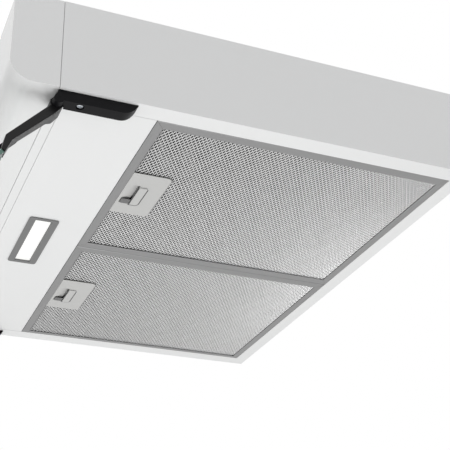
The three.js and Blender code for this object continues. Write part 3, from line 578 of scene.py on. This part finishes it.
def build_filters():
    """Each filter's frame, its front mesh with a layer behind it that is darkened as painted shade, and its
    rear mesh.
    """
    for side in SIDES:
        body = f"filter_{side}"
        rails = mitred_frame(side, f"filter_frame_{side}")
        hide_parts(f"filter_frame_{side}")
        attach(rails, body)
        low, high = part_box(f"filter_mesh_{side}")
        plate_low, plate_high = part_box(f"latch_plate_{side}")
        middle = (plate_low.x + plate_high.x) / 2
        clear = (middle - LATCH_HALF, middle + LATCH_HALF, plate_high.y - LATCH_BACK)
        inset_x, inset_y = MESH_INSET
        area = (low.x + inset_x, high.x - inset_x, low.y + inset_y, high.y - inset_y)
        rear_area = (low.x + REAR_INSET_X[side][0], high.x - REAR_INSET_X[side][1],
                     low.y + REAR_INSET_Y[0], high.y - REAR_INSET_Y[1])
        front = expanded_metal(f"filter_strands_{side}", area, low.z + FRONT_DEPTH, *MESH["front"], clear)
        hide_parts(f"filter_mesh_{side}")
        layer = expanded_metal(f"filter_layer_{side}", area, low.z + LAYER_DEPTH, *MESH["layer"], clear,
                               closed=False, finish="painted_shade_layer_metal")
        rear = expanded_metal(f"filter_rear_{side}", rear_area, REAR_LEVEL, *MESH["rear"], closed=False)
        for piece in (front, layer, rear):
            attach(piece, body)


# ---------------------------------------------------------------- latches
# Painted shade on the latches: the outline of the thin dark strip drawn as the shadow line round each pad,
# and of the dark patch drawn as shade in its finger recess.
SHADOW_LINE_X, SHADOW_LINE_Y = (-23 * MM, 14 * MM), (14 * MM, 25.3 * MM)      # from the middle and front of the plate
RECESS_SHADE_X, RECESS_SHADE_Y = (-21 * MM, -11.5 * MM), (4.5 * MM, 14.2 * MM)
SHADOW_LINE_ROUND, RECESS_SHADE_ROUND = 5 * MM, 1 * MM
PAINTED_SHADE_LEVELS = (UNDER - 0.14 * MM, UNDER + 0.04 * MM)
SPRING_SWING, SPRING_LEAF = 1.9 * MM, 0.4 * MM    # the leaf's swing to each side, and its thickness
SPRING_BENDS, SPRING_STEPS = 5, 40


def build_latch_painted_shade():
    """Thin dark sheets of painted shade: a painted shadow line round each latch's pad, and painted shade on
    the bottom of its finger recess.
    """
    for side in SIDES:
        plate_low, plate_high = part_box(f"latch_plate_{side}")
        middle, front = (plate_low.x + plate_high.x) / 2, plate_low.y

        def sheet(name, x, y, radii, finish):
            outline = rounded_outline(middle + x[0], middle + x[1], front + y[0], front + y[1], radii)
            return prism(name, outline, *PAINTED_SHADE_LEVELS, finish)

        # a thin dark strip round the pad, a painted shadow line
        shadow_line = sheet("shadow_line", SHADOW_LINE_X, SHADOW_LINE_Y, (0, 0, 0, SHADOW_LINE_ROUND), "seam_grey")
        # a dark patch on the recess floor, painted shade for its deep end
        recess_shade = sheet("recess_shade", RECESS_SHADE_X, RECESS_SHADE_Y, (RECESS_SHADE_ROUND, 0, 0, 0), "recess_grey")
        piece = join_pieces(f"latch_painted_shade_{side}", [shadow_line, recess_shade])
        tidy_normals(piece)
        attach(piece, f"filter_{side}")


def build_latch_springs():
    """A wavy leaf spring behind each latch's pad, drawn at rest; the real one shortens as the pad is pulled
    back.
    """
    for side in SIDES:
        node = f"latch_spring_{side}"
        low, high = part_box(node)
        middle, reach = (low.x + high.x) / 2, high.y - low.y
        edges = ([], [])
        for step in range(SPRING_STEPS + 1):
            share = step / SPRING_STEPS
            y = low.y + reach * share
            x = middle + SPRING_SWING * math.sin(share * SPRING_BENDS * math.pi)
            edges[0].append((x - SPRING_LEAF / 2, y))
            edges[1].append((x + SPRING_LEAF / 2, y))
        spring = prism(f"leaf_spring_{side}", edges[1] + edges[0][::-1], low.z, high.z, "zinc_steel")
        tidy_normals(spring)
        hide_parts(node)
        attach(spring, f"filter_{side}")
        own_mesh(spring)


# ---------------------------------------------------------------- front panel and push buttons
BUTTONS = ("button_light", "button_off", "button_low", "button_medium", "button_high")
NOSE_TOP, NOSE_BOTTOM = 9 * MM, 22 * MM   # radii of the front edges
NOSE_STEPS = 12                           # steps round each of them
NOSE_WALL = 2.2 * MM
NOSE_EDGE = 0.4                           # in millimetres, as soften takes it
BUTTON_CLEAR = 0.3 * MM
MARK_RELIEF = 0.25 * MM                   # how far the marks stand out of the buttons, and into them
RING_INNER, RING_OUTER = 1.4 * MM, 2.1 * MM
BAR_RADIUS, BAR_STRETCH = 1.3 * MM, (1.6, 1, 0.45)
DOT_RADIUS, DOT_PITCH = 0.75 * MM, 2.6 * MM
RING_SEGMENTS, DOT_SEGMENTS = 32, 24


def build_front_panel():
    """The moulded nose as one skin with button holes, thickened inwards."""
    low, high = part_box("front_panel")
    caps = [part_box(name) for name in BUTTONS]
    hole_low, hole_high = caps[0][0].z - BUTTON_CLEAR, caps[0][1].z + BUTTON_CLEAR
    holes = [(cap[0].x - BUTTON_CLEAR, cap[1].x + BUTTON_CLEAR) for cap in caps]

    def arc(radius, level, start):
        turns = [math.pi / 2 * (start + step / NOSE_STEPS) for step in range(NOSE_STEPS + 1)]
        return [(low.y + radius + radius * math.cos(turn), level + radius * math.sin(turn)) for turn in turns]

    path = [(high.y, high.z), *arc(NOSE_TOP, high.z - NOSE_TOP, 1), (low.y, hole_high), (low.y, hole_low),
            *arc(NOSE_BOTTOM, low.z + NOSE_BOTTOM, 2), (high.y, low.z)]
    stations = sorted({low.x, high.x, *[x for hole in holes for x in hole]})
    count = len(path)
    hole_row = path.index((low.y, hole_high))
    verts = [(x, y, z) for x in stations for y, z in path]
    faces = []
    for column in range(len(stations) - 1):
        is_hole = any(abs(stations[column] - hole[0]) < CLOSE for hole in holes)
        for row in range(count - 1):
            if is_hole and row == hole_row:
                continue
            first, after = column * count + row, (column + 1) * count + row
            faces.append((first, first + 1, after + 1, after))
    faces += [tuple(range(count)), tuple(range(len(verts) - count, len(verts)))]
    panel = mesh_object("nose_panel", verts, faces, "gloss_white")
    tidy_normals(panel)
    wall = panel.modifiers.new("wall", "SOLIDIFY")
    wall.thickness = NOSE_WALL
    wall.offset = -1
    soften(panel, NOSE_EDGE, merge_flats=False)
    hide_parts("front_panel")
    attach(panel, "hood")


def disc(outer, inner=0):
    """The half section of a mark, for turning, out to one radius and in to another."""
    return [(inner, -MARK_RELIEF), (outer, -MARK_RELIEF), (outer, MARK_RELIEF), (inner, MARK_RELIEF)]


def build_button_marks():
    """Small raised marks on the button faces: a ring, a bar, and one to three dots."""
    for name, dots in zip(BUTTONS, (None, 0, 1, 2, 3)):
        low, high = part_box(name)
        middle = Vector(((low.x + high.x) / 2, low.y, (low.z + high.z) / 2))
        parts = []
        if dots is None:
            ring = [*disc(RING_OUTER, RING_INNER), (RING_INNER, -MARK_RELIEF)]
            parts.append(turned("mark", ring, middle, "mark", RING_SEGMENTS, "y"))
        elif dots == 0:
            bar = turned("mark", disc(BAR_RADIUS), Vector(), "mark", RING_SEGMENTS, "y")
            bar.data.transform(Matrix.Translation(middle) @ Matrix.Diagonal((*BAR_STRETCH, 1)))
            parts.append(bar)
        for index in range(dots or 0):
            place = middle + Vector(((index - (dots - 1) / 2) * DOT_PITCH, 0, 0))
            parts.append(turned("mark", disc(DOT_RADIUS), place, "mark", DOT_SEGMENTS, "y"))
        mark = join_pieces(f"mark_{name}", parts)
        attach(mark, name)


# ---------------------------------------------------------------- visor glass
GLASS_CHAMFER = 0.6 * MM


def build_visor_glass():
    """The glass sheet, with ground, chamfered edges that show green."""
    work = bmesh.new()
    work.from_mesh(frame["nodes"]["visor_glass"].data)
    bmesh.ops.remove_doubles(work, verts=work.verts, dist=MERGE)
    bmesh.ops.dissolve_limit(work, angle_limit=math.radians(1), verts=work.verts, edges=work.edges)
    faces = sorted(work.faces, key=lambda face: -face.calc_area())
    rims = [edge for face in faces[:2] for edge in face.edges]
    bmesh.ops.bevel(work, geom=rims, offset=GLASS_CHAMFER, segments=1, affect="EDGES")
    faces = sorted(work.faces, key=lambda face: -face.calc_area())
    for face in faces[2:]:
        face.material_index = 1
    mesh = bpy.data.meshes.new("visor_pane")
    work.to_mesh(mesh)
    work.free()
    piece = bpy.data.objects.new("visor_pane", mesh)
    bpy.context.scene.collection.objects.link(piece)
    mesh.materials.append(MATERIALS["visor_glass"])
    mesh.materials.append(MATERIALS["glass_edge"])
    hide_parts("visor_glass")
    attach(piece, "visor")


# ---------------------------------------------------------------- screws
HEAD_HEIGHT = 2.1 * MM
HEAD_SEGMENTS, DOME_STEPS = 48, 6
HEAD_EDGE = 0.12                          # in millimetres, as soften takes it
BRACKET_SCREW, COLLAR_SCREW = 3.1 * MM, 4 * MM    # head radii


def screw_head(name, centre, radius, up, stands_for):
    """A domed pan head with a cross recess, facing up (+1) or down (-1)."""
    rim = 0.35 * HEAD_HEIGHT
    profile = [(0, -HEAD_HEIGHT), (0.98 * radius, -HEAD_HEIGHT), (radius, -0.9 * HEAD_HEIGHT), (radius, -rim)]
    for step in range(1, DOME_STEPS + 1):
        turn = math.pi / 2 * step / DOME_STEPS
        profile.append((radius * math.cos(turn), -rim + rim * math.sin(turn)))
    facing = [(reach, up * level) for reach, level in profile]
    head = turned(name, facing, centre, "zinc_steel", HEAD_SEGMENTS)
    arm, half, deep = 0.62 * radius, 0.13 * radius, 0.55 * HEAD_HEIGHT
    cutter = bmesh.new()
    for wide, tall in ((arm, half), (half, arm)):
        shape = Matrix.Diagonal((2 * wide, 2 * tall, 2 * deep, 1))
        bmesh.ops.create_cube(cutter, size=1, matrix=Matrix.Translation(centre) @ shape)
    mesh = bpy.data.meshes.new("cutter")
    cutter.to_mesh(mesh)
    cutter.free()
    tool = bpy.data.objects.new("cutter", mesh)
    bpy.context.scene.collection.objects.link(tool)
    carve(head, tool)
    soften(head, HEAD_EDGE)
    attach(head, "hood")
    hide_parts(stands_for)


def carve(piece, tool):
    """Cuts one piece by another, which is then removed."""
    cut = piece.modifiers.new("carve", "BOOLEAN")
    cut.operation = "DIFFERENCE"
    cut.solver = "EXACT"
    cut.use_self = True
    cut.object = tool
    graph = bpy.context.evaluated_depsgraph_get()
    mesh = bpy.data.meshes.new_from_object(piece.evaluated_get(graph))
    piece.modifiers.remove(cut)
    old = piece.data
    piece.data = mesh
    bpy.data.meshes.remove(old)
    bpy.data.objects.remove(tool)


def build_screws():
    """The hinge brackets' screws, seen from below, and the outlet collar's, seen from above."""
    for side in SIDES:
        node = f"bracket_screw_{side}"
        low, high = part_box(node)
        middle = (low + high) / 2
        screw_head(f"screw_{side}", (middle.x, middle.y, low.z), BRACKET_SCREW, -1, node)
    for index in range(1, 5):
        node = f"collar_screw_{index}"
        low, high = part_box(node)
        middle = (low + high) / 2
        screw_head(f"flange_screw_{index}", (middle.x, middle.y, high.z), COLLAR_SCREW, 1, node)


# ---------------------------------------------------------------- the scene
SMOOTH = smooth_by_angle()
make_materials()
add_camera()
add_studio()
add_floor()
paint_cad_nodes()
build_front_panel()
build_button_marks()
build_filters()
build_latch_painted_shade()
build_latch_springs()
build_visor_glass()
build_screws()
